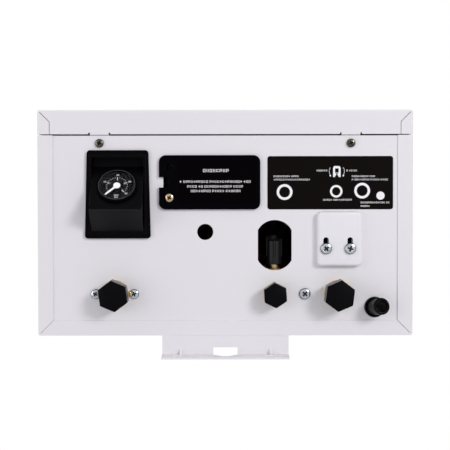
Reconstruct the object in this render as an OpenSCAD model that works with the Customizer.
/* [Casing] */
// Width of the casing
casing_w = 400; // [380:1:440]
// Depth of the casing from its back to the front of the cover
casing_d = 241; // [234:1:270]
// Height of the casing
casing_h = 700; // [690:1:780]
// Thickness of the painted steel sheet
sheet_t = 1.2; // [1:0.1:1.5]
// Depth of the front cover
cover_d = 27; // [24:1:30]
// Space between the wall and the casing's back
wall_gap = 22; // [18:1:30]
// Outer radius of the folded edges
bend_r = 2.4; // [2:0.1:4]
// Width of the rim folded in under the body
rim_w = 16; // [12:1:20]
// Width of the flange folded in under the cover's sides
cover_return_w = 12.8; // [10:0.1:16]
// Gap between the cover and the body
seam_gap = 1; // [0.6:0.1:1.6]

/* [Wall brackets] */
// Width of the lower bracket
bracket_w = 135; // [125:1:160]
// Thickness of both brackets
bracket_t = 2; // [1.5:0.1:3]
// Height of the bracket's wall flange
bracket_drop = 20; // [18:1:26]
// Height from the middle of the slots to the casing's rim
slot_drop = 10; // [8:0.5:12]
// Distance between the two bracket slots
slot_spacing = 96; // [90:1:100]
// Length of a bracket slot
slot_len = 13; // [11:1:16]
// Width of a bracket slot
slot_w = 6.5; // [5:0.1:8]
// Width of the notch in the middle of the bracket
notch_w = 26; // [20:1:34]
// Width of the upper hanger
hanger_w = 280; // [270:1:330]
// Distance between the hanger's holes
hanger_spacing = 240; // [200:1:250]
// Radius of a hanger hole
hanger_hole_r = 4.5; // [3:0.1:6]
// Distance from the casing's top to the hanger's holes
hanger_below = 60; // [50:1:90]

/* [Cover fixing] */
// Distance of each cover screw from the middle
cover_screw_x = 134; // [120:1:140]
// Distance of the cover screws from the seam
cover_screw_in = 8.6; // [7:0.1:11]
// Width of a cover tab
tab_w = 20; // [16:1:24]
// Length of a cover tab behind the seam
tab_len = 18; // [16:1:22]
// Radius of a cover screw's head
cover_head_r = 4.65; // [4:0.05:6]

/* [Gauge] */
// Place of the gauge housing across the casing
gauge_x = -114.5; // [-120:0.5:-110]
// Distance of the housing's middle from the back
gauge_d = 151; // [148:0.5:156]
// Length of the housing's rim
gauge_rim_l = 94; // [88:1:100]
// Width of the rim at its front
gauge_rim_front_w = 65.7; // [62:0.1:70]
// Width of the rim at its rear
gauge_rim_rear_w = 69.9; // [66:0.1:74]
// Height of the rim under the plate
gauge_rim_h = 3; // [2:0.1:5]
// Width of the opening in the rim
gauge_open_w = 56; // [52:0.5:60]
// Length of the opening in the rim
gauge_open_l = 79; // [76:0.5:84]
// Tilt of the gauge's face
gauge_tilt = 38; // [30:1:42]
// Radius of the gauge's bezel
bezel_r = 22; // [20:0.1:23]
// Radius of the gauge's glass
glass_r = 19.3; // [17:0.1:20]
// Length of the gauge's needle
needle_len = 14; // [10:0.5:16]

/* [Terminal cover] */
// Place of the terminal cover across the casing
terminal_x = -16.6; // [-20:0.1:-10]
// Distance of its middle from the back
terminal_d = 163.7; // [160:0.1:170]
// Width of the terminal cover
terminal_w = 107.9; // [104:0.1:112]
// Length of the terminal cover, front to back
terminal_l = 57.8; // [56:0.1:62]
// Thickness of the terminal cover
terminal_t = 3; // [2.5:0.1:4]

/* [Label] */
// Place of the connection label across the casing
label_x = 112; // [110:0.5:114]
// Distance of its middle from the back
label_d = 163.1; // [160:0.1:168]
// Width of the connection label
label_w = 134; // [128:0.5:136]
// Length of the label, front to back
label_l = 56.8; // [52:0.1:60]
// Thickness of the films
film_t = 0.4; // [0.2:0.1:0.8]

/* [Cable inlets] */
// Place of the cable hole across the casing
cable_hole_x = -21.4; // [-30:0.1:-10]
// Distance of the cable hole from the back
cable_hole_d = 110.7; // [106:0.1:116]
// Radius of the cable hole
cable_hole_r = 8.6; // [7:0.1:12]
// Place of the cable cover across the casing
slide_x = 121.2; // [118:0.1:126]
// Distance of the cable cover's middle from the back
slide_d = 103.3; // [100:0.1:106]
// Width of the cable cover
slide_w = 48; // [44:0.5:54]
// Length of the cable cover, front to back
slide_l = 58.5; // [54:0.5:60]
// Height of the cable cover
slide_h = 7; // [6:0.1:10]
// How far the cable cover slides
slide_travel = 9; // [6:0.5:10]
// Distance between the cable cover's screws
slide_screw_gap = 25.6; // [22:0.1:30]
// Radius of their heads
slide_head_r = 5.9; // [5:0.1:6.4]

/* [Fill valve] */
// Place of the fill connection across the casing
fill_x = 52.8; // [48:0.1:56]
// Radius of the ends of the cut-out round the handle
valve_hole_r = 20.5; // [19:0.1:24]
// Distance of each end's centre from the cut-out's middle
valve_hole_shift = 6.4; // [4:0.1:9]
// Width of the cut-out between its flats
valve_hole_w = 36; // [32:0.5:40]
// Distance of the cut-out's middle from the back
valve_hole_d = 96.5; // [94:0.1:100]
// Radius of the handle
handle_r = 9.2; // [8:0.1:10]
// Length of the handle
handle_len = 31.5; // [26:0.5:34]
// Distance of the handle's rear end from the casing's back
handle_d = 75.5; // [74:0.5:78]
// Height of the spindle over the plate
spindle_up = 16; // [16:0.5:24]
// Radius of the fill thread, half an inch pipe thread
fill_r = 10.45; // [9:0.05:12]
// Distance across the flats of the fill cap
fill_cap_af = 23.4; // [22.6:0.1:27]

/* [Water connections] */
// Distance of the connections from the casing's back
ports_d = 44.5; // [42:0.5:50]
// Place of the supply connection across the casing
supply_x = -118; // [-122:0.5:-110]
// Place of the return connection across the casing
return_x = 120.3; // [116:0.1:124]
// Radius of their threads, three quarters of an inch pipe thread
port_r = 13.2; // [12:0.05:14]
// Radius of the bore in a connection
port_bore_r = 10; // [8:0.1:11]
// Length of a connection under the plate
port_drop = 20; // [18:0.5:26]
// Distance across the flats of a large cap
cap_af = 29.1; // [28.6:0.1:34]
// Height of a large cap
cap_h = 16; // [14:0.5:18]

/* [Drain] */
// Place of the drain across the casing
drain_x = 159.6; // [156:0.1:162]
// Distance of the drain from the back
drain_d = 30.2; // [28:0.1:34]
// Outer radius of the drain tube
drain_r = 8.5; // [7:0.1:9]
// Radius of the drain tube's bore
drain_bore_r = 6.5; // [5:0.1:6.8]
// Length of the drain tube under the plate
drain_len = 20; // [16:0.5:26]
// Lean of the drain tube to the right
drain_lean_x = 13; // [0:1:20]
// Lean of the drain tube to the front
drain_lean_y = 9; // [0:1:15]

/* [Heater] */
// Radius of the heater tank
tank_r = 48; // [44:0.5:50]
// Height of the heater tank
tank_h = 390; // [360:5:400]
// Wall of the heater tank
tank_wall = 2; // [1.5:0.1:3]
// Thickness of the insulation round the tank
jacket_t = 6; // [4:0.5:7]
// Distance of the tank's axis from the back
tank_d = 156; // [154:0.5:158]
// Height of the tank's foot over the plate
tank_up = 170; // [160:1:180]
// Radius of a heating element's tube
element_r = 4.2; // [3.5:0.1:5]

/* [Pipes] */
// Radius of the water pipes
pipe_r = 11; // [9:0.5:12]
// Radius of their bends, at the middle of the pipe
pipe_bend = 24; // [20:1:28]

/* [Pump] */
// Height of the pump's axis over the plate
pump_up = 160; // [156:1:170]
// Radius of the pump's motor
motor_r = 40; // [36:0.5:42]
// Length of the pump's motor
motor_len = 78; // [70:1:84]

/* [Expansion vessel] */
// Radius of the expansion vessel
vessel_r = 134; // [125:1:136]
// Depth of the expansion vessel
vessel_depth = 84; // [76:1:86]
// Place of the vessel across the casing
vessel_x = 55; // [52:1:56]
// Height of the vessel's middle over the plate
vessel_up = 515; // [510:1:520]

/* [Control panel] */
// Width of the fascia
fascia_w = 124; // [116:1:140]
// Height of the fascia
fascia_h = 46; // [42:1:54]
// Height of the fascia's middle over the casing's rim
fascia_up = 175; // [150:1:260]
// Radius of a button
button_r = 4.6; // [4:0.1:5.4]
// Travel of a button
button_travel = 1.2; // [0.8:0.1:1.6]
// Distance between two buttons
button_gap = 22; // [16:0.5:26]

/* [Hidden] */

$fn = 96;
over = 1; // every cut runs past its faces by this much
tiny = 0.1;
touch_gap = 0.3; // between pieces that move past each other
slip = 0.05; // radial clearance of a pin in its hole
screw_r = 2; // shank of the small screws
m5_r = 2.5; // shank of the fitting screws

// Levels and faces
rim_z = slot_drop;
plate_z = rim_z + sheet_t;
deck_z = plate_z + sheet_t;
top_z = rim_z + casing_h;
half_w = casing_w / 2;
back_y = -wall_gap;
inner_back_y = back_y - sheet_t;
front_y = back_y - casing_d;
seam_y = front_y + cover_d;
cut_w = 0.6; // width of the slit between two folded flanges

// Small sizes of the cover's fixing
lip = 12; // folded stiffening lips
notch_r = 0.9;
tab_gap = 0.4;
tongue_l = 5;
tab_z = deck_z + tab_gap;
fork_w = 5;
hook_w = 30;
hook_len = 8;
hook_x = 130;
screw_dome = 3;
screw_depth = 9;
nut_w = 28;
nut_l = 12;
nut_roof = 2.4;

// Small sizes of the gauge
gauge_r = 3.5;
gauge_wall = 2.2;
gauge_top = 22; // height of the moulding inside the casing
rim_side_gap = 0.6;
gauge_face_d = 9; // from the housing's middle to the gauge's centre
face_rise = 2.6; // bezel over the housing's face
can_r = 20.5;
can_len = 22;
dial_sink = 2.4;
dial_t = 0.8;
glass_t = 1;
needle_w = 1.3;
needle_t = 0.7;
hub_r = 3.6;
pivot_r = 1;
pivot_len = 3;
tail_len = 5;
capillary_r = 1.6;
capillary_bend = 10;

// Small sizes of the terminal cover
terminal_r = 7.3;
window_w = 82.4;
window_l = 45.1;
window_shift = 8.2;
window_sink = 0.8;
window_r = 2;
notch_l = 11.1;
notch_in = 9.8;
terminal_hole_r = 3.5;
terminal_screw_x = -42.8; // from the cover's middle
terminal_screw_y = 16.4;
terminal_head_r = 4.7;
lug_w = 8;
lug_t = 1.6;
lug_reach = 4;
lug_y = 15;
lug_slot_in = 5.2; // the plate's slots leave room for the lugs as the cover swings
lug_slot_l = 4.4;

// Small sizes of the cable cover
slide_r = 3.5;
slide_wall = 1.6;
slide_slot_w = 5.85;
slide_screw_y = 10; // screws behind the cover's middle
slide_opening_w = 30;
slide_screw_shift = -1.4;
slide_screw_mid = slide_x + slide_screw_shift;
slot_share = 0.75; // the plate is slotted in front of each screw
slide_opening_l = 16;

// Small sizes of the valve and the fittings
fitting_z = deck_z + spindle_up;
barrel_r = 12;
barrel_half = 12;
fill_share = 0.75; // of a large connection's length
fill_drop = port_drop * fill_share;
fill_cap_h = cap_h * fill_share;
handle_back = depth(handle_d);
handle_bore_r = 5.6;
flute_r = 1.3;
flutes = 6;
mouth_back = 7;
mouth_tilt = 20;
step_share = 0.8; // of a round piece's radius at its step
bolt_share = 0.6; // of a flange's thickness
fill_bore_r = 7.3;
bracket_share = 0.62; // how far up the tank its upper bracket stands
element_end = 60; // from the elements' ends to the tank's floor
motor_share = 0.75;
motor_box_share = 1.65; // of the motor's radius
spindle_r = 3;
stub_up = 31; // connections above the plate
bonnet_r = 8;
bonnet_flare = 1.2;
locknut_h = 5;
locknut_r = 14.8;
cap_wall = 2.2;
cap_chamfer = 0.8;
fitting_head_r = 5.1;
middle_head_r = 5.9;
fitting_screw_gap = 20.6;
plate_t = 3; // thickness of the manifold plate
manifold_screw_x = 84.9;
manifold_w = 34;
drain_inner_up = 16;
grommet_r = 11.2;
grommet_lip = 2;
valve_axis_up = 62;
safety_r = 15;
knob_r = 15;
knob_len = 26;

// Places inside the casing
port_y = depth(ports_d);
bonnet_len = port_y - handle_back - locknut_h - touch_gap;
tank_y = back_y - tank_d;
tank_x = supply_x;
tank_z = deck_z + tank_up;
tank_top = tank_z + tank_h;
jacket_r = tank_r + jacket_t;
nut_af = 30;
nut_len = 16;
volute_r = 38;
port_reach = 6;
pump_z = deck_z + pump_up;
cross_z = pump_z + volute_r + nut_len + pipe_bend + over;
bend_x = -16; // where the pump's pipe turns to the front
outlet_drop = 30;
vessel_y = port_y;
vessel_z = deck_z + vessel_up;
flange_t = 8;
flange_extra = 3;
fascia_z = rim_z + fascia_up;
fascia_t = 2.2;
fascia_r = 6;
cover_opening_w = 100;
cover_opening_h = 38;
button_z = fascia_z - 12;
button_len = 7;
button_proud = 1;
board_t = 1.6;
board_back = 12;
buttons = 4;
display_w = 58;
display_h = 18;
display_up = 8;
tray_w = 182;
tray_h = 250;
tray_up = 290;
tray_lip = 18;
tray_back = 30; // from the seam to the tray
switch_h = board_back + fascia_t + button_proud - button_len - button_travel - touch_gap;

function depth(d) = back_y - d;

module round_rect(w, l, r) {
  square([w - 2 * r, l], center = true);
  square([w, l - 2 * r], center = true);
  for (sx = [-1, 1], sy = [-1, 1])
    translate([sx * (w / 2 - r), sy * (l / 2 - r)]) circle(r);
}

// A shape seen from below: x to the right, y to the front, z down from the plate
module under(x, d, z = plate_z) translate([x, depth(d), z]) rotate([180, 0, 0]) children();

// A shape seen from the front: x to the right, y up, z out of the cover
module on_front(x, z, y = front_y) translate([x, y, z]) rotate([90, 0, 0]) children();

// An outline in y and z, drawn out evenly to both sides along x
module x_prism(w) rotate([90, 0, 90]) linear_extrude(w, center = true) children();

// A nut or cap blank with its corners turned off at the far end
module hex_blank(af, h, chamfer) {
  corner_r = af / 2 / cos(30);
  intersection() {
    cylinder(h, r = corner_r, $fn = 6);
    rotate_extrude() polygon([[0, 0], [corner_r, 0], [corner_r, h - chamfer],
      [corner_r - 2 * chamfer, h], [0, h]]);
  }
}

// A pan head screw with a cross recess: the head points along z, the shank the other way
module screw(head_r, head_h, shank_r, shank_l) {
  dome_r = (head_r * head_r + head_h * head_h) / (2 * head_h);
  difference() {
    union() {
      intersection() {
        translate([0, 0, head_h - dome_r]) sphere(dome_r);
        cylinder(head_h, r = head_r);
      }
      translate([0, 0, -shank_l]) cylinder(shank_l + tiny, r = shank_r);
    }
    for (turn = [0, 90]) rotate(turn)
      translate([-head_r * cross_share, -head_r * arm_share / 2, head_h * sink_share])
        cube([2 * head_r * cross_share, head_r * arm_share, head_h]);
  }
}
cross_share = 0.52;
arm_share = 0.24;
sink_share = 0.45;

// A pipe along straight runs that meet at right angles, with a round bend at each corner
module bent_pipe(points, r, bend) {
  last = len(points) - 1;
  function way(i) = (points[i + 1] - points[i]) / norm(points[i + 1] - points[i]);
  for (i = [0 : last - 1]) {
    from = points[i] + (i > 0 ? bend : 0) * way(i);
    to = points[i + 1] - (i + 1 < last ? bend : 0) * way(i);
    run(from, to, r);
  }
  if (last > 1) for (i = [1 : last - 1]) {
    a = way(i - 1);
    b = way(i);
    c = points[i] - bend * a + bend * b;
    w = cross(-b, a);
    multmatrix([[-b.x, a.x, w.x, c.x], [-b.y, a.y, w.y, c.y], [-b.z, a.z, w.z, c.z], [0, 0, 0, 1]])
      rotate_extrude(angle = 90) translate([bend, 0]) circle(r);
  }
}

module run(from, to, r) {
  v = to - from;
  translate(from) rotate([0, acos(v.z / norm(v)), atan2(v.y, v.x)]) cylinder(norm(v), r = r);
}

// Outline of the folded body from above, its back corners rounded
module body_outline(inset, r) {
  w = casing_w - 2 * inset;
  far = back_y - inset;
  translate([-w / 2, seam_y]) square([w, far - r - seam_y]);
  translate([-w / 2 + r, seam_y]) square([w - 2 * r, far - seam_y]);
  for (sx = [-1, 1]) translate([sx * (w / 2 - r), far - r]) circle(r);
}

module body_shell() color("white") {
  difference() {
    translate([0, 0, rim_z]) linear_extrude(casing_h - sheet_t) difference() {
      body_outline(0, bend_r);
      body_outline(sheet_t, bend_r - sheet_t);
      translate([-half_w, seam_y - over]) square([casing_w, over]);
    }
    mitre_cuts();
  }
  difference() {
    translate([0, 0, rim_z]) linear_extrude(sheet_t) difference() {
      body_outline(0, bend_r);
      translate([-half_w + rim_w, seam_y - over])
        square([casing_w - 2 * rim_w, casing_d - cover_d - rim_w + over]);
    }
    mitre_cuts();
  }
  // Tongues that reach into the cover along both sides and close the seam from inside
  for (sx = [-1, 1]) translate([sx * (half_w - 1.5 * sheet_t - tab_gap), seam_y, rim_z + casing_h / 2])
    cube([sheet_t, 2 * tongue_l, casing_h - 4 * sheet_t - 2 * lip], center = true);
  // Stiffening lips along the open front of both sides
  for (sx = [-1, 1]) translate([sx * (half_w - lip / 2), seam_y + sheet_t / 2, rim_z + casing_h / 2])
    cube([lip, sheet_t, casing_h - 8 * lip], center = true);
}

// The slits where two rims meet at a back corner
module mitre_cuts() for (sx = [-1, 1]) translate([sx * (half_w - bend_r), back_y - bend_r, rim_z - over])
  rotate(sx > 0 ? 225 : -45) translate([0, -cut_w / 2, 0]) cube([rim_w * 2, cut_w, sheet_t + over]);

module top_panel() color("white") {
  lip_w = casing_w - 2 * sheet_t - 4 * touch_gap;
  lip_l = casing_d - cover_d - sheet_t - 2 * touch_gap;
  translate([0, 0, top_z - sheet_t]) linear_extrude(sheet_t) difference() {
    body_outline(0, bend_r);
    translate([-half_w, seam_y - over]) square([casing_w, over]);
  }
  // Lips folded down inside the walls, the front one slotted for the cover's hooks
  difference() {
    translate([0, 0, top_z - lip]) linear_extrude(lip) difference() {
      translate([-lip_w / 2, seam_y]) square([lip_w, lip_l]);
      translate([-lip_w / 2 + sheet_t, seam_y + sheet_t])
        square([lip_w - 2 * sheet_t, lip_l - 2 * sheet_t]);
    }
    for (sx = [-1, 1]) translate([sx * hook_x, seam_y, top_z - sheet_t - lip])
      cube([hook_w + 2 * over, 2 * hook_len, 2 * lip], center = true);
    for (sx = [-1, 1]) translate([sx * half_w, seam_y, top_z - lip - over])
      cube([2 * lip + 2 * over, 4 * sheet_t, 2 * (lip - sheet_t + over)], center = true);
  }
}

// Plate with every hole that a piece passes through
module bottom_plate() color("white") {
  w = casing_w - 2 * sheet_t - 2 * touch_gap;
  l = casing_d - cover_d - sheet_t - touch_gap - seam_gap / 2;
  translate([0, 0, plate_z]) linear_extrude(sheet_t) difference() {
    translate([-w / 2, seam_y + seam_gap / 2]) square([w, l]);
    mirror([0, 1]) plate_holes();
  }
  // Stiffening lip folded up between the cover's tabs
  lip_l = 2 * (cover_screw_x - nut_w / 2) - lip;
  translate([-lip_l / 2, seam_y + seam_gap / 2, plate_z]) cube([lip_l, sheet_t, lip]);
}

// The holes seen from below, each at its piece's own place
module plate_holes() {
  around = 2 * gauge_wall + 2 * slip;
  at_plate(gauge_x, gauge_d) square([gauge_open_w + around, gauge_open_l + around], center = true);
  at_plate(terminal_x, terminal_d) {
    translate([terminal_shift, 0]) square([terminal_open_w, terminal_open_l], center = true);
    translate([-terminal_w / 2 + terminal_tongue + notch_in, 0])
      square([notch_in * 2, 1.5 * notch_l], center = true);
    translate([terminal_screw_x, terminal_screw_y]) circle(terminal_hole_r + touch_gap);
    translate([terminal_screw_x, -terminal_screw_y]) circle(screw_r + slip);
    for (sy = [-1, 1]) {
      translate([terminal_w / 2 - lug_slot_in, sy * lug_y - lug_w / 2 - touch_gap])
        square([lug_slot_l, lug_w + 2 * touch_gap]);
    }
  }
  at_plate(cable_hole_x, cable_hole_d) circle(cable_hole_r);
  at_plate(fill_x, valve_hole_d) intersection() {
    union() for (s = [-1, 1]) translate([0, s * valve_hole_shift]) circle(valve_hole_r);
    square([valve_hole_w, 4 * valve_hole_r], center = true);
  }
  at_plate(slide_x, slide_d + slide_l / 4) round_rect(slide_opening_w, slide_opening_l, slide_r);
  for (sx = [-1, 1]) {
    at_plate(slide_screw_mid + sx * slide_screw_gap / 2, slide_d - slide_screw_y) {
      circle(m5_r + slip);
      translate([0, slide_travel * slot_share])
        square([slide_slot_w - 2 * touch_gap, slide_travel], center = true);
    }
    at_plate(supply_x + sx * fitting_screw_gap, ports_d) circle(m5_r + touch_gap);
    at_plate(sx * cover_screw_x, casing_d - cover_d - cover_screw_in) circle(screw_r + touch_gap);
  }
  for (x = [supply_x, return_x]) at_plate(x, ports_d) circle(port_r + touch_gap);
  at_plate(fill_x, ports_d) circle(fill_r + touch_gap);
  at_plate(manifold_screw_x, ports_d) circle(m5_r + touch_gap);
  at_plate(drain_x, drain_d) circle(grommet_neck + slip);
}
terminal_open_w = 74;
terminal_open_l = 42;
terminal_shift = 4;
terminal_tongue = 4.5;

module at_plate(x, d) translate([x, -depth(d)]) children();

// Outline of the cover from above, its front corners rounded
module cover_outline(inset, r) {
  w = casing_w - 2 * inset;
  near = front_y + inset;
  translate([-w / 2, near + r]) square([w, cover_d - seam_gap - inset - r]);
  translate([-w / 2 + r, near]) square([w - 2 * r, cover_d - seam_gap - inset]);
  for (sx = [-1, 1]) translate([sx * (w / 2 - r), near + r]) circle(r);
}

// Outline of the cover from the side, its upper and lower front edges rounded
module cover_profile(inset, r) {
  near = front_y + inset;
  low = rim_z + inset;
  high = top_z - inset;
  translate([near + r, low]) square([cover_d - seam_gap - inset - r, high - low]);
  translate([near, low + r]) square([cover_d - seam_gap - inset, high - low - 2 * r]);
  for (z = [low + r, high - r]) translate([near + r, z]) circle(r);
}

module cover_block(inset, r) intersection() {
  translate([0, 0, rim_z + inset]) linear_extrude(casing_h - 2 * inset) cover_outline(inset, r);
  x_prism(casing_w - 2 * inset) cover_profile(inset, r);
}

module front_cover() color("white") {
  rear = seam_y - seam_gap;
  difference() {
    cover_block(0, bend_r);
    difference() {
      cover_block(sheet_t, bend_r - sheet_t);
      translate([-half_w, rear, rim_z]) cube([casing_w, over, casing_h]);
    }
    translate([-half_w + sheet_t, rear - tiny, rim_z + sheet_t])
      cube([casing_w - 2 * sheet_t, over, casing_h - 2 * sheet_t]);
    // Mitre and slit between the bottom flange and each side's flange
    for (sx = [-1, 1]) {
      translate([sx * (half_w - bend_r), front_y + bend_r, rim_z - over])
        rotate(sx > 0 ? 135 : 45) translate([0, -cut_w / 2, 0])
          cube([(cover_return_w - bend_r) * sqrt(2), cut_w, sheet_t + over]);
      translate([sx * (half_w - cover_return_w) - cut_w / 2, front_y + cover_return_w, rim_z - over])
        cube([cut_w, cover_d, sheet_t + over]);
    }
    // Small relief notches beside the tabs
    for (sx = [-1, 1], st = [-1, 1])
      translate([sx * cover_screw_x + st * (tab_w / 2 + notch_r), rear - notch_r, rim_z - over]) {
        cylinder(sheet_t + 2 * over, r = notch_r);
        translate([-notch_r, 0, 0]) cube([2 * notch_r, 2 * notch_r, sheet_t + 2 * over]);
      }
    on_front(0, fascia_z, front_y + sheet_t + over)
      linear_extrude(sheet_t + 2 * over) round_rect(cover_opening_w, cover_opening_h, fascia_r);
  }
  for (sx = [-1, 1]) {
    // A tab joggled up and back over the bottom plate, forked round the screw
    translate([sx * cover_screw_x - tab_w / 2, rear - sheet_t, rim_z])
      cube([tab_w, sheet_t + seam_gap / 2, tab_z + sheet_t - rim_z]);
    difference() {
      translate([sx * cover_screw_x - tab_w / 2, rear - sheet_t, tab_z])
        cube([tab_w, tab_len + seam_gap, sheet_t]);
      translate([sx * cover_screw_x, seam_y + cover_screw_in, tab_z - over]) {
        cylinder(sheet_t + 2 * over, r = fork_w / 2);
        translate([-fork_w / 2, 0, 0]) cube([fork_w, tab_len, sheet_t + 2 * over]);
      }
    }
    // A hook at the top that the cover hangs and swings on
    translate([sx * hook_x - hook_w / 2, rear - 2 * sheet_t, top_z - 2 * sheet_t - touch_gap - sheet_t / 2])
      cube([hook_w, 2 * sheet_t + seam_gap / 2, 2 * sheet_t]);
    translate([sx * hook_x - hook_w / 2, rear - sheet_t, top_z - 2 * sheet_t - touch_gap])
      cube([hook_w, hook_len, sheet_t]);
  }
}

module at_cover_screws() for (sx = [-1, 1])
  under(sx * cover_screw_x, casing_d - cover_d - cover_screw_in) children();

module cover_screws() color("silver") at_cover_screws() screw(cover_head_r, screw_dome, screw_r, screw_depth);

// A small bridge over each tab, threaded for the screw
module cover_nuts() color("gainsboro") at_cover_screws() {
  foot = sheet_t;
  roof = 2 * tab_gap + 2 * sheet_t;
  difference() {
    union() {
      translate([-nut_w / 2, -nut_l / 2, -roof - nut_roof]) cube([nut_w, nut_l, nut_roof]);
      for (sx = [-1, 1]) translate([sx * (nut_w / 2 - nut_roof / 2), 0, -foot - (roof - foot) / 2])
        cube([nut_roof, nut_l, roof - foot], center = true);
    }
    translate([0, 0, -roof - nut_roof - over]) cylinder(nut_roof + 2 * over, r = screw_r + slip);
  }
}

module lower_wall_bracket() color("white") difference() {
  union() {
    translate([-bracket_w / 2, back_y, rim_z]) cube([bracket_w, wall_gap, bracket_t]);
    translate([-bracket_w / 2, back_y, rim_z]) cube([bracket_w, bracket_t, bracket_drop + bracket_t]);
    translate([-bracket_w / 2, -bracket_t, rim_z - bracket_drop])
      cube([bracket_w, bracket_t, bracket_drop + bracket_t]);
    // Pressed gussets in both bends
    for (sx = [-1, 1]) {
      translate([sx * slot_spacing / 2, 0, 0]) x_prism(bracket_t) polygon([
        [-bracket_t, rim_z - gusset], [-bracket_t, rim_z], [-bracket_t - gusset, rim_z]]);
      translate([sx * slot_spacing / 2, 0, 0]) x_prism(bracket_t) polygon([
        [back_y + bracket_t, rim_z + bracket_t + gusset], [back_y + bracket_t, rim_z + bracket_t],
        [back_y + bracket_t + gusset, rim_z + bracket_t]]);
    }
  }
  for (sx = [-1, 1]) translate([sx * slot_spacing / 2, over, 0]) rotate([90, 0, 0])
    linear_extrude(bracket_t + 2 * over) slot(slot_len, slot_w);
  // Notch through the bend, stepped in towards the flange's edge
  translate([-notch_w / 2, -wall_gap * notch_share, rim_z - over])
    cube([notch_w, wall_gap, bracket_t + 2 * over]);
  translate([0, over, 0]) rotate([90, 0, 0]) linear_extrude(bracket_t + 2 * over) polygon([
    [-notch_w / 2, rim_z + bracket_t], [-notch_w / 2, rim_z - gusset / 2], [-notch_w / 3, rim_z - gusset],
    [-notch_w / 8, rim_z - 2 * gusset], [notch_w / 8, rim_z - 2 * gusset], [notch_w / 3, rim_z - gusset],
    [notch_w / 2, rim_z - gusset / 2], [notch_w / 2, rim_z + bracket_t]]);
}
gusset = 6;
notch_share = 0.42;

module slot(l, w) {
  square([l - w, w], center = true);
  for (s = [-1, 1]) translate([s * (l - w) / 2, 0]) circle(w / 2);
}

module upper_wall_hanger() color("gainsboro") {
  low = top_z - hanger_below - lip;
  translate([-hanger_w / 2, back_y, low]) cube([hanger_w, wall_gap, bracket_t]);
  translate([-hanger_w / 2, back_y, low - 2 * lip]) cube([hanger_w, bracket_t, 2 * lip + bracket_t]);
  difference() {
    translate([-hanger_w / 2, -bracket_t, low]) cube([hanger_w, bracket_t, 2 * lip]);
    for (sx = [-1, 1]) translate([sx * hanger_spacing / 2, over, low + lip])
      rotate([90, 0, 0]) cylinder(bracket_t + 2 * over, r = hanger_hole_r);
  }
}

module control_fascia() color("#17181b") difference() {
  on_front(0, fascia_z) linear_extrude(fascia_t) round_rect(fascia_w, fascia_h, fascia_r);
  for (i = [0 : buttons - 1]) on_front(button_x(i), button_z, front_y + over)
    cylinder(fascia_t + 2 * over, r = button_r + touch_gap);
  on_front(0, fascia_z + display_up, front_y + over)
    linear_extrude(fascia_t + 2 * over) square([display_w, display_h], center = true);
}

function button_x(i) = (i - (buttons - 1) / 2) * button_gap;

module display_module() color("#20262e") {
  on_front(0, fascia_z + display_up, front_y + board_back)
    linear_extrude(board_back + fascia_t / 2)
      square([display_w - 2 * tiny, display_h - 2 * tiny], center = true);
}

module control_board() color("darkgreen") {
  on_front(0, fascia_z, front_y + board_back + board_t)
    linear_extrude(board_t) square([cover_opening_w + lip, fascia_h], center = true);
  // Tact switches behind the buttons
  for (i = [0 : buttons - 1]) on_front(button_x(i), button_z, front_y + board_back)
    linear_extrude(switch_h) square([button_r, button_r], center = true);
  // Standoffs that hold the board to the cover
  for (sx = [-1, 1], sy = [-1, 1])
    on_front(sx * (cover_opening_w + lip / 2) / 2, fascia_z + sy * fascia_h / 3, front_y + board_back)
      cylinder(board_back - sheet_t, r = lip / 5);
}

module push_button(i) color("gainsboro")
  on_front(button_x(i), button_z, front_y - fascia_t - button_proud + button_len) {
  cylinder(button_len - button_proud / 2, r = button_r);
  cylinder(button_len, r = button_r - button_proud / 2);
  cylinder(button_len - fascia_t - button_proud - sheet_t - touch_gap - button_travel,
    r = button_r + button_proud);
}

module power_button() push_button(0);
module minus_button() push_button(1);
module plus_button() push_button(2);
module menu_button() push_button(3);

// Rim of the gauge housing, narrower at its front, with round corners
module gauge_rim_outline(inset) {
  front_half = gauge_rim_front_w / 2 - gauge_r - inset;
  rear_half = gauge_rim_rear_w / 2 - gauge_r - inset;
  y = gauge_rim_l / 2 - gauge_r - inset;
  r = gauge_r;
  slope = atan2(rear_half - front_half, 2 * y);
  for (s = [-1, 1]) {
    translate([s * front_half, y]) circle(r);
    translate([s * rear_half, -y]) circle(r);
  }
  polygon([[-front_half, y + r], [front_half, y + r], [front_half + r * cos(slope), y + r * sin(slope)],
    [rear_half + r * cos(slope), -y + r * sin(slope)], [rear_half, -y - r], [-rear_half, -y - r],
    [-rear_half - r * cos(slope), -y + r * sin(slope)], [-front_half - r * cos(slope), y + r * sin(slope)]]);
}

// Height of the gauge's face under the plate at its middle, and the rest of the wedge's outline
face_z = gauge_rim_h + gauge_face_d * tan(gauge_tilt) - rim_side_gap;
open_front = gauge_open_l / 2;
face_share = 0.12; // how far back the face starts, of the opening
face_front = open_front - gauge_open_l * face_share;
ridge_share = 0.19;
ridge_y = -gauge_open_l * ridge_share;
function face_at(y) = face_z + (gauge_face_d - y) * tan(gauge_tilt);

module wedge_outline(inset) {
  t = inset / cos(gauge_tilt);
  polygon([[-open_front + inset, -gauge_top - tiny], [-open_front + inset, gauge_rim_h - 2 * inset],
    [ridge_y - inset / 2, face_at(ridge_y) - 2 * inset], [face_front - inset, face_at(face_front) - t],
    [open_front - inset, face_at(face_front) - t], [open_front - inset, -gauge_top - tiny]]);
}

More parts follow.
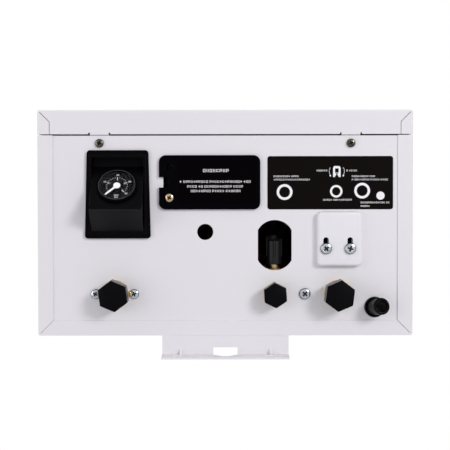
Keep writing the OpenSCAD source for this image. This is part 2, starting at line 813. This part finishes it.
module gauge_housing() color("#1b1c1f") under(gauge_x, gauge_d) difference() {
  union() {
    linear_extrude(gauge_rim_h) difference() {
      gauge_rim_outline(0);
      square([gauge_open_w, gauge_open_l], center = true);
    }
    // Tub that stands inside the casing, and the raised lip round its mouth
    translate([0, 0, -gauge_top]) linear_extrude(gauge_top + gauge_rim_h + rim_side_gap) difference() {
      square([gauge_open_w + 2 * gauge_wall, gauge_open_l + 2 * gauge_wall], center = true);
      square([gauge_open_w, gauge_open_l], center = true);
    }
    difference() {
      x_prism(gauge_open_w - 2 * rim_side_gap) wedge_outline(0);
      x_prism(gauge_open_w - 2 * rim_side_gap - 2 * gauge_wall) wedge_outline(gauge_wall);
    }
    // Thin webs that join the wedge to the tub below the mouth
    translate([0, 0, -gauge_top]) linear_extrude(gauge_wall) difference() {
      square([gauge_open_w + gauge_wall, gauge_open_l + gauge_wall], center = true);
      square([gauge_open_w - 2 * gauge_wall, gauge_open_l - 2 * gauge_wall], center = true);
    }
  }
  gauge_face_place() translate([0, 0, -can_len]) cylinder(can_len + over, r = can_r + slip);
}

// From the housing's frame to the gauge's face, z out of the dial
module gauge_face_place() translate([0, gauge_face_d, face_z]) rotate([-gauge_tilt, 0, 0]) children();

module at_gauge() under(gauge_x, gauge_d) gauge_face_place() children();

module gauge_case() color("#121214") at_gauge() difference() {
  union() {
    translate([0, 0, -can_len]) cylinder(can_len + tiny, r = can_r);
    cylinder(face_rise, r = bezel_r);
    translate([0, 0, -can_len - gauge_r]) cylinder(gauge_r + tiny, r = 2 * hub_r);
  }
  translate([0, 0, face_rise - dial_sink - glass_t]) cylinder(dial_sink + glass_t + over, r = glass_r + slip);
}

dial_z = face_rise - dial_sink - glass_t;

module gauge_dial() color("black") at_gauge() translate([0, 0, dial_z]) difference() {
  cylinder(dial_t, r = glass_r - tiny);
  translate([0, 0, -over]) cylinder(dial_t + 2 * over, r = pivot_r + slip);
}

module gauge_needle() color("white") at_gauge() rotate(135) {
  lift = dial_z + dial_t + touch_gap;
  translate([0, 0, lift]) cylinder(needle_t + touch_gap, r = hub_r);
  translate([0, 0, dial_z + tiny]) cylinder(dial_t + touch_gap, r = pivot_r);
  translate([0, 0, lift]) linear_extrude(needle_t)
    polygon([[-needle_w, 0], [-needle_w / 3, needle_len], [needle_w / 3, needle_len], [needle_w, 0],
      [needle_w, -tail_len], [-needle_w, -tail_len]]);
}

module gauge_glass() color("white", 0.3) at_gauge() translate([0, 0, face_rise - glass_t])
  cylinder(glass_t, r = glass_r);

module gauge_capillary() color("#b87333") {
  // Leaves the boss along the can's axis, then climbs and crosses to the supply pipe
  boss = can_len + gauge_r + touch_gap / 3;
  turn = boss + capillary_bend;
  high = tank_z - 4 * capillary_bend;
  run(behind_gauge(boss), behind_gauge(turn), capillary_r);
  translate(behind_gauge(turn)) sphere(capillary_r + touch_gap);
  bent_pipe([behind_gauge(turn), [gauge_x, behind_gauge(turn).y, high],
    [gauge_x, port_y - pipe_r, high]], capillary_r, capillary_bend);
}

function behind_gauge(t) = [gauge_x, depth(gauge_d + gauge_face_d) + t * sin(gauge_tilt),
  plate_z - face_z + t * cos(gauge_tilt)];

module terminal_cover() color("#15161c") under(terminal_x, terminal_d) {
  hinge_x = terminal_w / 2;
  difference() {
    linear_extrude(terminal_t) round_rect(terminal_w, terminal_l, terminal_r);
    translate([window_shift, 0, terminal_t - window_sink])
      linear_extrude(window_sink + over) round_rect(window_w, window_l, window_r);
    translate([-terminal_w / 2 - over, -notch_l / 2, -over])
      cube([notch_in + over, notch_l, terminal_t + 2 * over]);
    translate([terminal_screw_x, terminal_screw_y, -over])
      cylinder(terminal_t + 2 * over, r = terminal_hole_r);
    translate([terminal_screw_x, -terminal_screw_y, -over])
      cylinder(terminal_t + 2 * over, r = screw_r + slip);
    // Hollow inside the rim
    translate([0, 0, -over]) linear_extrude(terminal_t - 2 * window_sink + over - tiny) difference() {
      round_rect(terminal_w - 2 * window_r, terminal_l - 2 * window_r, terminal_r - window_r);
      for (sy = [-1, 1]) translate([terminal_screw_x, sy * terminal_screw_y])
        circle(terminal_head_r + window_r);
      translate([-terminal_w / 2, 0])
        square([2 * notch_in + 2 * window_r, notch_l + 2 * window_r], center = true);
    }
  }
  // Lugs that hook over the plate at the right-hand end
  for (sy = [-1, 1]) translate([hinge_x - 2 * lug_t, sy * lug_y - lug_w / 2, -sheet_t - touch_gap - lug_t]) {
    cube([lug_t, lug_w, sheet_t + touch_gap + lug_t + terminal_t / 2]);
    cube([lug_t + lug_reach, lug_w, lug_t]);
  }
}

module terminal_cover_screw() color("#c8a24a") under(terminal_x, terminal_d)
  translate([terminal_screw_x, -terminal_screw_y, terminal_t])
    screw(terminal_head_r, screw_dome, screw_r, terminal_t + sheet_t);

module terminal_cover_film() color("black") under(terminal_x, terminal_d)
  translate([window_shift, 0, terminal_t - window_sink])
    linear_extrude(film_t) round_rect(window_w - 2 * tiny, window_l - 2 * tiny, window_r - tiny);

module connection_label() color("black") under(label_x, label_d)
  linear_extrude(film_t) round_rect(label_w, label_l, label_corner);
label_corner = 2.9;

// A box with round upright corners and round edges at its far end
module soft_box(w, l, h, r) intersection() {
  linear_extrude(h) round_rect(w, l, r);
  rotate([90, 0, 0]) linear_extrude(l + over, center = true) top_rounded(w, h, r);
  x_prism(w + over) top_rounded(l, h, r);
}

module top_rounded(w, h, r) {
  translate([-w / 2, 0]) square([w, h - r]);
  translate([-w / 2 + r, 0]) square([w - 2 * r, h]);
  for (s = [-1, 1]) translate([s * (w / 2 - r), h - r]) circle(r);
}

// The two slots of the cable cover, half its travel in front of the screws
module at_slots() for (sx = [-1, 1])
  translate([slide_screw_shift + sx * slide_screw_gap / 2, -slide_screw_y + slide_travel / 2, 0]) children();

module cable_cover() color("white") under(slide_x, slide_d) difference() {
  soft_box(slide_w, slide_l, slide_h, slide_r);
  difference() {
    translate([0, 0, -over]) linear_extrude(slide_h - slide_wall + over)
      round_rect(slide_w - 2 * slide_wall, slide_l - 2 * slide_wall, slide_r - slide_wall);
    // Pads under the screw heads
    at_slots() linear_extrude(slide_h)
      square([2 * slide_head_r, slide_travel + 2 * slide_head_r + tiny], center = true);
  }
  at_slots() translate([0, 0, -over])
    linear_extrude(slide_h + 2 * over) rotate(90) slot(slide_travel + slide_slot_w, slide_slot_w);
}

module at_slide_screws() for (sx = [-1, 1])
  under(slide_screw_mid + sx * slide_screw_gap / 2, slide_d - slide_screw_y) children();

module cable_cover_screws() color("silver") at_slide_screws() translate([0, 0, slide_h + touch_gap / 3])
  screw(slide_head_r, screw_dome, m5_r, slide_h + sheet_t + plate_t);

module fitting_place(x, d = ports_d) under(x, d) children();

module supply_stub() color("#c9a65a") fitting_place(supply_x) {
  difference() {
    union() {
      translate([0, 0, -stub_up]) cylinder(stub_up + port_drop, r = port_r);
      cylinder(locknut_h, r = locknut_r);
      translate([0, 0, -sheet_t - plate_t]) linear_extrude(plate_t) {
        circle(port_r + plate_t);
        square([2 * fitting_screw_gap, 4 * plate_t], center = true);
        for (s = [-1, 1]) translate([s * fitting_screw_gap, 0]) circle(2 * plate_t);
      }
    }
    translate([0, 0, -stub_up - over]) cylinder(stub_up + port_drop + 2 * over, r = port_bore_r);
    for (s = [-1, 1]) translate([s * fitting_screw_gap, 0, -sheet_t - plate_t - over])
      cylinder(plate_t + 2 * over, r = m5_r + slip);
  }
}

module return_stub() color("#c9a65a") fitting_place(return_x) {
  difference() {
    union() {
      translate([0, 0, -stub_up]) cylinder(stub_up + port_drop, r = port_r);
      cylinder(locknut_h, r = locknut_r);
    }
    translate([0, 0, -stub_up - over]) cylinder(stub_up + port_drop + 2 * over, r = port_bore_r);
  }
}

module manifold_plate() color("silver") translate([0, 0, deck_z]) linear_extrude(plate_t) difference() {
  translate([(fill_x + return_x) / 2, port_y])
    round_rect(return_x - fill_x + manifold_w, manifold_w, plate_t);
  translate([return_x, port_y]) circle(port_r + slip);
  translate([fill_x, port_y]) circle(fill_r + slip);
  translate([manifold_screw_x, port_y]) circle(m5_r + slip);
}

module fitting_screws() color("silver") {
  for (s = [-1, 1]) fitting_place(supply_x + s * fitting_screw_gap)
    screw(fitting_head_r, screw_dome, m5_r, sheet_t + plate_t + over);
  fitting_place(manifold_screw_x) screw(middle_head_r, screw_dome, m5_r, sheet_t + plate_t + over);
}

module fill_valve_body() color("#c9a65a") difference() {
  union() {
    translate([fill_x, port_y, plate_z - fill_drop])
      cylinder(fill_drop + sheet_t + spindle_up + fill_r, r = fill_r);
    translate([fill_x, port_y + barrel_half, fitting_z]) rotate([90, 0, 0])
      cylinder(2 * barrel_half, r = barrel_r);
    // Bonnet that carries the spindle
    translate([fill_x, port_y, fitting_z]) rotate([90, 0, 0]) {
      cylinder(bonnet_len, r = bonnet_r);
      cylinder(bonnet_len - barrel_half / 2, r = bonnet_r * bonnet_flare, $fn = 6);
    }
  }
  translate([fill_x, port_y, plate_z - fill_drop - over]) cylinder(fill_drop + spindle_up / 2, r = fill_bore_r);
  translate([fill_x, port_y, fitting_z]) rotate([90, 0, 0]) cylinder(bonnet_len + over, r = spindle_r + slip);
}

module fill_valve_spindle() color("#d8b25a") translate([fill_x, port_y, fitting_z]) rotate([90, 0, 0]) {
  translate([0, 0, touch_gap]) cylinder(port_y - handle_back + 2 * locknut_h - touch_gap, r = spindle_r);
  translate([0, 0, bonnet_len + touch_gap]) cylinder(locknut_h - 2 * touch_gap, r = bonnet_r * step_share);
}

// Hollow knob, fluted along its length, its mouth open to the front
module fill_valve_handle() color("#17181a")
  translate([fill_x, handle_back, fitting_z]) rotate([90, 0, 0]) difference() {
  union() {
    cylinder(handle_len, r = handle_r);
    cylinder(handle_len / flutes, r = handle_r * step_share);
  }
  for (i = [0 : flutes - 1]) rotate(i * 360 / flutes + 30)
    translate([handle_r, 0, handle_len / 4]) cylinder(handle_len, r = flute_r);
  translate([0, 0, 2 * locknut_h + touch_gap]) cylinder(handle_len, r = handle_bore_r);
  translate([0, 0, -over]) cylinder(handle_len, r = spindle_r + slip);
  // Its mouth is cut back below, so that it opens to the front and down
  translate([-2 * handle_r, -handle_r, handle_len - mouth_back]) rotate([mouth_tilt, 0, 0])
    cube([4 * handle_r, 4 * handle_r, handle_len]);
  // A slit down one side lets the knob spring onto its spindle
  translate([-handle_r - over, -flute_r / 2, handle_len / 4]) cube([handle_r, flute_r, handle_len]);
}

module protective_cap(x, af, h, thread_r, drop) color("#131417") fitting_place(x)
  translate([0, 0, drop - h + cap_wall + touch_gap]) difference() {
    hex_blank(af, h, cap_chamfer);
    translate([0, 0, -over]) cylinder(h - cap_wall + over, r = thread_r + slip);
  }

module supply_cap() turned(supply_x, -7) protective_cap(supply_x, cap_af, cap_h, port_r, port_drop);
module return_cap() turned(return_x, 7) protective_cap(return_x, cap_af, cap_h, port_r, port_drop);
module fill_cap() turned(fill_x, -4) protective_cap(fill_x, fill_cap_af, fill_cap_h, fill_r, fill_drop);

// The caps stand at the angles they were screwed down to, a corner near the front
module turned(x, a) translate([x, port_y, 0]) rotate(30 + a) translate([-x, -port_y, 0]) children();

// Rubber ring in the bottom plate round the drain tube
module drain_grommet() color("#1a1a1c") under(drain_x, drain_d) rotate_extrude() polygon([
  [drain_r + touch_gap, -sheet_t - grommet_lip], [grommet_r, -sheet_t - grommet_lip], [grommet_r, -sheet_t],
  [grommet_neck, -sheet_t], [grommet_neck, 0], [grommet_r, 0],
  [grommet_r - grommet_lip / 4, grommet_lip], [grommet_neck, grommet_lip], [drain_r + 2 * touch_gap, 0],
  [drain_r + touch_gap, -sheet_t]]);
grommet_neck = 10.2;

module drain_lean() rotate([-drain_lean_y, drain_lean_x, 0]) children();

module drain_shape(r, extra) {
  translate([0, 0, -drain_inner_up - extra]) cylinder(drain_inner_up + extra, r = r);
  sphere(r);
  drain_lean() cylinder(drain_len + extra, r = r);
}

// Elbow that slips over the valve's outlet and leans out under the plate
module drain_tube() color("#232327") under(drain_x, drain_d, plate_z) difference() {
  union() {
    drain_shape(drain_r, 0);
    drain_lean() translate([0, 0, drain_len - grommet_lip]) cylinder(grommet_lip, r = drain_r + slip * 8);
  }
  drain_shape(drain_bore_r, over);
}

// Brass valve: inlet behind, outlet down into the drain tube, bonnet to the front
safety_z = deck_z + valve_axis_up;
drain_y = depth(drain_d);
inlet_r = 5;
tee_reach = 3;
safety_back = inner_back_y - 2 * inlet_r - tiny;

module safety_valve() color("#c9a65a") {
  spigot_low = deck_z + drain_inner_up - inlet_r;
  difference() {
    union() {
      translate([drain_x, drain_y, spigot_low]) cylinder(safety_z - spigot_low, r = drain_bore_r - slip);
      translate([drain_x, drain_y, deck_z + drain_inner_up + touch_gap])
        cylinder(safety_z - deck_z - drain_inner_up, r = safety_r * bonnet_share);
      translate([drain_x, drain_y + safety_r * bonnet_share, safety_z]) rotate([90, 0, 0]) {
        cylinder(2 * safety_r, r = safety_r);
        cylinder(2 * safety_r + knob_len / 2, r = spindle_r);
      }
    }
    translate([drain_x, drain_y, spigot_low - over]) cylinder(inlet_r * 4, r = inlet_r);
  }
  // Feed from the return line, round behind the valve
  bent_pipe([[drain_x, drain_y + safety_r * bonnet_share - tiny, safety_z], [drain_x, safety_back, safety_z],
    [return_x, safety_back, safety_z], [return_x, port_y + pipe_r + tee_reach + tiny, safety_z]], inlet_r, feed_bend);
}
bonnet_share = 0.7;
feed_bend = 5.5;

module safety_valve_knob() color("#b3261e")
  translate([drain_x, drain_y + safety_r * bonnet_share - 2 * safety_r - touch_gap, safety_z])
    rotate([90, 0, 0]) difference() {
      union() {
        cylinder(knob_len, r = knob_r * step_share);
        translate([0, 0, knob_len / 4]) cylinder(knob_len / 2, r = knob_r);
      }
      for (i = [0 : 2 * flutes - 1]) rotate(i * 180 / flutes)
        translate([knob_r + flute_r / 2, 0, -over]) cylinder(knob_len + 2 * over, r = 1.4 * flute_r);
      translate([0, 0, -over]) cylinder(knob_len / 2 + touch_gap + over, r = spindle_r + slip);
    }

module heater_tank() color("silver") translate([tank_x, tank_y, tank_z]) {
  difference() {
    cylinder(tank_h, r = tank_r);
    translate([0, 0, tank_wall]) cylinder(tank_h, r = tank_r - tank_wall);
  }
  // Collar that the element flange is bolted to
  translate([0, 0, tank_h - flange_t]) difference() {
    cylinder(flange_t, r = tank_r + jacket_t + flange_extra);
    translate([0, 0, -over]) cylinder(flange_t + 2 * over, r = tank_r - tank_wall);
  }
  // Ports: inlet low on the right, outlet high at the back
  translate([tank_r - tank_wall, 0, inlet_up]) rotate([0, 90, 0])
    cylinder(jacket_t + tank_wall + port_reach, r = pipe_r + tank_wall);
  translate([0, tank_r - tank_wall, tank_h - outlet_drop]) rotate([-90, 0, 0])
    cylinder(jacket_t + tank_wall + port_reach, r = pipe_r + tank_wall);
}
inlet_up = cross_z - tank_z;

module tank_insulation() color("#3b3d42") translate([tank_x, tank_y, tank_z]) difference() {
  translate([0, 0, -jacket_t]) cylinder(tank_h - flange_t + jacket_t - touch_gap, r = jacket_r);
  translate([0, 0, -touch_gap]) cylinder(tank_h, r = tank_r + touch_gap / 3);
  translate([0, 0, inlet_up]) rotate([0, 90, 0]) cylinder(2 * jacket_r, r = pipe_r + tank_wall + touch_gap);
  translate([0, 0, tank_h - outlet_drop]) rotate([-90, 0, 0])
    cylinder(2 * jacket_r, r = pipe_r + tank_wall + touch_gap);
}

// Two bands round the jacket, each on a pair of arms from the back wall
module tank_bracket() color("gainsboro") for (up = [tank_h / 4, tank_h * bracket_share])
  translate([0, 0, tank_z + up]) {
  translate([tank_x, tank_y, 0]) difference() {
    cylinder(band_h, r = jacket_r + band_t + slip);
    translate([0, 0, -over]) cylinder(band_h + 2 * over, r = jacket_r + slip);
  }
  for (sx = [-1, 1]) difference() {
    translate([tank_x + sx * arm_x - band_t / 2, tank_y, 0]) cube([band_t, inner_back_y - tank_y, band_h]);
    translate([tank_x, tank_y, -over]) cylinder(band_h + 2 * over, r = jacket_r + band_t / 2);
  }
  for (sx = [-1, 1]) translate([tank_x + sx * (arm_x + lip / 2), inner_back_y - band_t / 2, band_h / 2])
    cube([lip + band_t, band_t, band_h], center = true);
}
band_t = 2;
band_h = 22;
arm_x = 34;

flange_r = tank_r + jacket_t + flange_extra;

module element_flange() color("silver") translate([tank_x, tank_y, tank_top]) difference() {
  union() {
    cylinder(flange_t, r = flange_r);
    for (i = [0 : 5]) rotate((i + 0.5) * 360 / 6) translate([flange_r - flange_t, 0, 0])
      cylinder(2 * flange_t - flange_extra, r = flange_t * bolt_share, $fn = 6);
  }
  for (i = [0 : 2], s = [-1, 1]) rotate(i * 120) translate([element_ring, s * element_gap, -over])
    cylinder(flange_t + 2 * over, r = element_r + slip);
}
element_ring = 22;
element_gap = 9;

// Three hairpin tubes with a terminal pin on each end
module heating_elements() color("#8a8f96")
  translate([tank_x, tank_y, tank_top]) for (i = [0 : 2]) rotate(i * 360 / 3)
  translate([element_ring, 0, 0]) {
    for (s = [-1, 1]) translate([0, s * element_gap, -element_len]) {
      cylinder(element_len + flange_t + element_r, r = element_r);
      cylinder(element_len + flange_t + 5 * element_r, r = element_r / 2);
    }
    translate([0, 0, -element_len]) rotate([0, 90, 0]) rotate_extrude(angle = 180)
      translate([element_gap, 0]) circle(element_r);
  }
element_len = tank_h - element_end;

module overheat_cutout() color("#222428") translate([tank_x, tank_y, tank_top + flange_t]) difference() {
  union() {
    cylinder(cutout_h / 3, r = cutout_r);
    cylinder(cutout_h, r = cutout_r * step_share);
  }
  translate([0, 0, cutout_h / 2]) cylinder(cutout_h, r = reset_r + slip);
}
cutout_r = 10;
cutout_h = 15;
reset_r = 3;
reset_travel = 1.5;

module reset_button() color("#b3261e")
  translate([tank_x, tank_y, tank_top + flange_t + cutout_h / 2 + reset_travel + touch_gap])
  cylinder(cutout_h / 2 + reset_travel / 2, r = reset_r);

outlet_z = tank_top - outlet_drop;

module air_vent() color("#c9a65a") translate([tank_x, port_y, outlet_z + pipe_r + over + tiny]) {
  cylinder(port_reach + tiny, r = pipe_r * bolt_share);
  translate([0, 0, port_reach]) cylinder(vent_h, r = vent_r);
  translate([0, 0, port_reach + vent_h]) cylinder(port_reach, r = vent_r * bolt_share);
  translate([vent_r / 2, 0, port_reach + vent_h]) cylinder(2 * port_reach, r = vent_r / 3);
}
vent_r = 14;
vent_h = 34;

// From the tank's outlet back and down to the supply connection, with a tee under the vent
module supply_pipe() color("#b87333") {
  back = tank_y + tank_r + jacket_t + port_reach + touch_gap / 3;
  run([tank_x, back, outlet_z], [tank_x, port_y, outlet_z], pipe_r);
  run([tank_x, port_y, stub_gap], [tank_x, port_y, outlet_z + pipe_r + over], pipe_r);
}

module pump_outlet_pipe() color("#b87333") {
  stop = tank_x + tank_r + jacket_t + port_reach + touch_gap / 3;
  bent_pipe([[return_x, port_y, pump_z + volute_r + touch_gap], [return_x, port_y, cross_z], [bend_x, port_y, cross_z],
    [bend_x, tank_y, cross_z], [stop, tank_y, cross_z]], pipe_r, pipe_bend);
  translate([vessel_x, port_y, cross_z]) cylinder(pipe_r + port_reach, r = hose_r + tank_wall);
}

// Cast casing of the pump: a round volute with the inlet below and the outlet above
module pump_volute() color("#3a3f45") translate([return_x, port_y, pump_z]) {
  rotate([90, 0, 0]) {
    translate([0, 0, -volute_t / 2]) cylinder(volute_t, r = volute_r);
    translate([0, 0, volute_t / 2]) cylinder(volute_t / 4, r = motor_r);
  }
  translate([0, 0, -volute_r - port_reach]) cylinder(2 * volute_r + port_reach, r = pipe_r + tank_wall);
  translate([0, 0, safety_z - pump_z]) rotate([-90, 0, 0]) cylinder(pipe_r + tee_reach, r = inlet_r + tank_wall);
  translate([0, 0, stub_gap - pump_z]) cylinder(pump_z - stub_gap - volute_r, r = pipe_r);
}
volute_t = 34;
stub_gap = deck_z + stub_up - sheet_t + touch_gap / 3;

module pump_motor() color("#22262c")
  translate([return_x, port_y - volute_t * motor_share - touch_gap / 3, pump_z]) rotate([90, 0, 0]) {
  difference() {
    cylinder(motor_len, r = motor_r);
    for (i = [0 : fins - 1]) rotate(i * 360 / fins) translate([motor_r, 0, motor_len / 6])
      cylinder(motor_len, r = flute_r);
  }
  // Wiring box on the motor's front
  translate([0, 0, motor_len - tiny]) linear_extrude(motor_box_t)
    round_rect(motor_box_share * motor_r, motor_box_share * motor_r, fascia_r);
}
fins = 24;
motor_box_t = 24;

// Brass nuts where the pipes meet the tank, the pump and the connections
module union_nuts() color("#c9a65a") {
  for (x = [supply_x, return_x]) translate([x, port_y, stub_gap]) nut_ring(pipe_r + slip);
  translate([tank_x + tank_r + jacket_t + port_reach, tank_y, cross_z]) rotate([0, 90, 0]) nut_ring(pipe_r + slip);
  translate([tank_x, tank_y + tank_r + jacket_t + port_reach, outlet_z]) rotate([-90, 0, 0]) nut_ring(pipe_r + slip);
  translate([return_x, port_y, pump_z + volute_r + touch_gap]) nut_ring(pipe_r + slip);
}

module nut_ring(bore) translate([0, 0, touch_gap]) difference() {
  cylinder(nut_len, r = nut_af / 2 / cos(30), $fn = 6);
  translate([0, 0, -over]) cylinder(nut_len + 2 * over, r = bore);
}

// Two pressed shells joined at a rolled seam, with a hose port on the seam below
module expansion_vessel() color("#a8322b") translate([vessel_x, vessel_y, vessel_z]) {
  rotate([90, 0, 0]) rotate_extrude() difference() {
    union() {
      vessel_half(1);
      vessel_half(-1);
      translate([0, -seam_t / 2]) square([vessel_r + seam_t, seam_t]);
    }
    translate([-2 * vessel_r, -vessel_depth]) square([2 * vessel_r, 2 * vessel_depth]);
  }
  translate([0, 0, -vessel_r - port_reach]) cylinder(2 * port_reach, r = hose_r + tank_wall);
}
seam_t = 5;
hose_r = 6;

module vessel_half(s) {
  r = vessel_depth / 2 - seam_t;
  square_x = vessel_r - r;
  translate([0, s > 0 ? 0 : -vessel_depth / 2]) square([square_x, vessel_depth / 2]);
  translate([square_x, s * (vessel_depth / 2 - r)]) circle(r);
  translate([0, s > 0 ? 0 : -vessel_depth / 2 + r]) square([vessel_r, vessel_depth / 2 - r]);
}

module vessel_bracket() color("gainsboro") {
  gap = inner_back_y - (vessel_y + vessel_depth / 2);
  translate([vessel_x, inner_back_y - gap / 2, vessel_z]) {
    cube([vessel_r, gap, 2 * lip], center = true);
  }
}

module vessel_hose() color("#2a2c30")
  run([vessel_x, port_y, cross_z + pipe_r + port_reach + tiny],
    [vessel_x, port_y, vessel_z - vessel_r - port_reach - tiny], hose_r);

// Folded tray on the right-hand wall that carries the power board
tray_z = deck_z + tray_up;
tray_y = seam_y + tray_back;
tray_x = half_w - sheet_t - tray_w;

module electronics_tray() color("gainsboro") translate([tray_x, tray_y, tray_z]) {
  cube([tray_w - touch_gap, sheet_t, tray_h]);
  translate([tray_w - touch_gap - sheet_t, 0, 0]) cube([sheet_t, tray_lip, tray_h]);
  for (z = [0, tray_h - sheet_t]) translate([0, -tray_lip, z]) cube([tray_w - touch_gap, tray_lip + tiny, sheet_t]);
  translate([0, -tray_lip, 0]) cube([sheet_t, tray_lip + tiny, tray_h]);
}

module power_board() color("darkgreen") translate([tray_x + lip, tray_y - stand_h, tray_z + lip]) {
  w = tray_w - 2 * lip;
  h = tray_h - 2 * lip;
  difference() {
    translate([0, -board_t, 0]) cube([w, board_t, h]);
    for (x = [lip / 2, w - lip / 2], z = [lip / 2, h - lip / 2]) translate([x, over, z]) rotate([90, 0, 0])
      cylinder(board_t + 2 * over, r = screw_r);
  }
  for (x = [lip, w - lip], z = [lip, h - lip]) translate([x, tiny, z]) rotate([-90, 0, 0])
    cylinder(stand_h - tiny, r = lip / 5);
  // Relays, transformer, capacitors and the row of terminals
  for (i = [0 : 3]) translate([lip + i * (w - 2 * lip) / 4, -board_t - relay_h, h - 3 * lip])
    cube([2 * lip, relay_h + tiny, 1.5 * lip]);
  translate([lip, -board_t - relay_h, h / 2]) cube([4 * lip, relay_h + tiny, 3 * lip]);
  for (i = [0 : 2]) translate([w / 2 + lip + i * 2 * lip, -board_t + tiny, h / 2]) rotate([90, 0, 0])
    cylinder(relay_h, r = lip / 2);
  translate([lip, -board_t - relay_h / 2, lip]) cube([w - 2 * lip, relay_h / 2 + tiny, lip]);
}
stand_h = 5;
relay_h = 15;

module terminal_block() color("ivory") translate([terminal_x, depth(terminal_d), deck_z]) {
  // Rail on two feet behind the opening in the plate
  back = block_l / 2;
  for (sx = [-1, 1]) translate([sx * (block_w / 2 - lip / 2), back, 0]) translate([-lip / 2, 0, 0])
    cube([lip, 3 * sheet_t, block_up + sheet_t]);
  translate([-block_w / 2, -back, block_up]) cube([block_w, block_l + 3 * sheet_t, 2 * sheet_t]);
  difference() {
    translate([-block_w / 2, -back, block_up + sheet_t]) cube([block_w, block_l - lip / 2, block_h]);
    for (i = [0 : poles - 1]) translate([-block_w / 2 + (i + 0.5) * block_w / poles, -back - over, block_up + block_h / 2])
      rotate([-90, 0, 0]) cylinder(block_l / 3, r = screw_r);
  }
}
block_w = 72;
block_l = 48;
block_h = 20;
block_up = 22;
poles = 6;

body_shell();
top_panel();
bottom_plate();
front_cover();
cover_screws();
cover_nuts();
lower_wall_bracket();
upper_wall_hanger();
control_fascia();
display_module();
control_board();
power_button();
minus_button();
plus_button();
menu_button();
gauge_housing();
gauge_case();
gauge_dial();
gauge_needle();
gauge_glass();
gauge_capillary();
terminal_cover();
terminal_cover_screw();
terminal_cover_film();
connection_label();
cable_cover();
cable_cover_screws();
manifold_plate();
fitting_screws();
supply_stub();
return_stub();
fill_valve_body();
fill_valve_spindle();
fill_valve_handle();
supply_cap();
return_cap();
fill_cap();
drain_grommet();
drain_tube();
safety_valve();
safety_valve_knob();
heater_tank();
tank_insulation();
tank_bracket();
element_flange();
heating_elements();
overheat_cutout();
reset_button();
air_vent();
supply_pipe();
pump_outlet_pipe();
pump_volute();
pump_motor();
union_nuts();
expansion_vessel();
vessel_bracket();
vessel_hose();
electronics_tray();
power_board();
terminal_block();
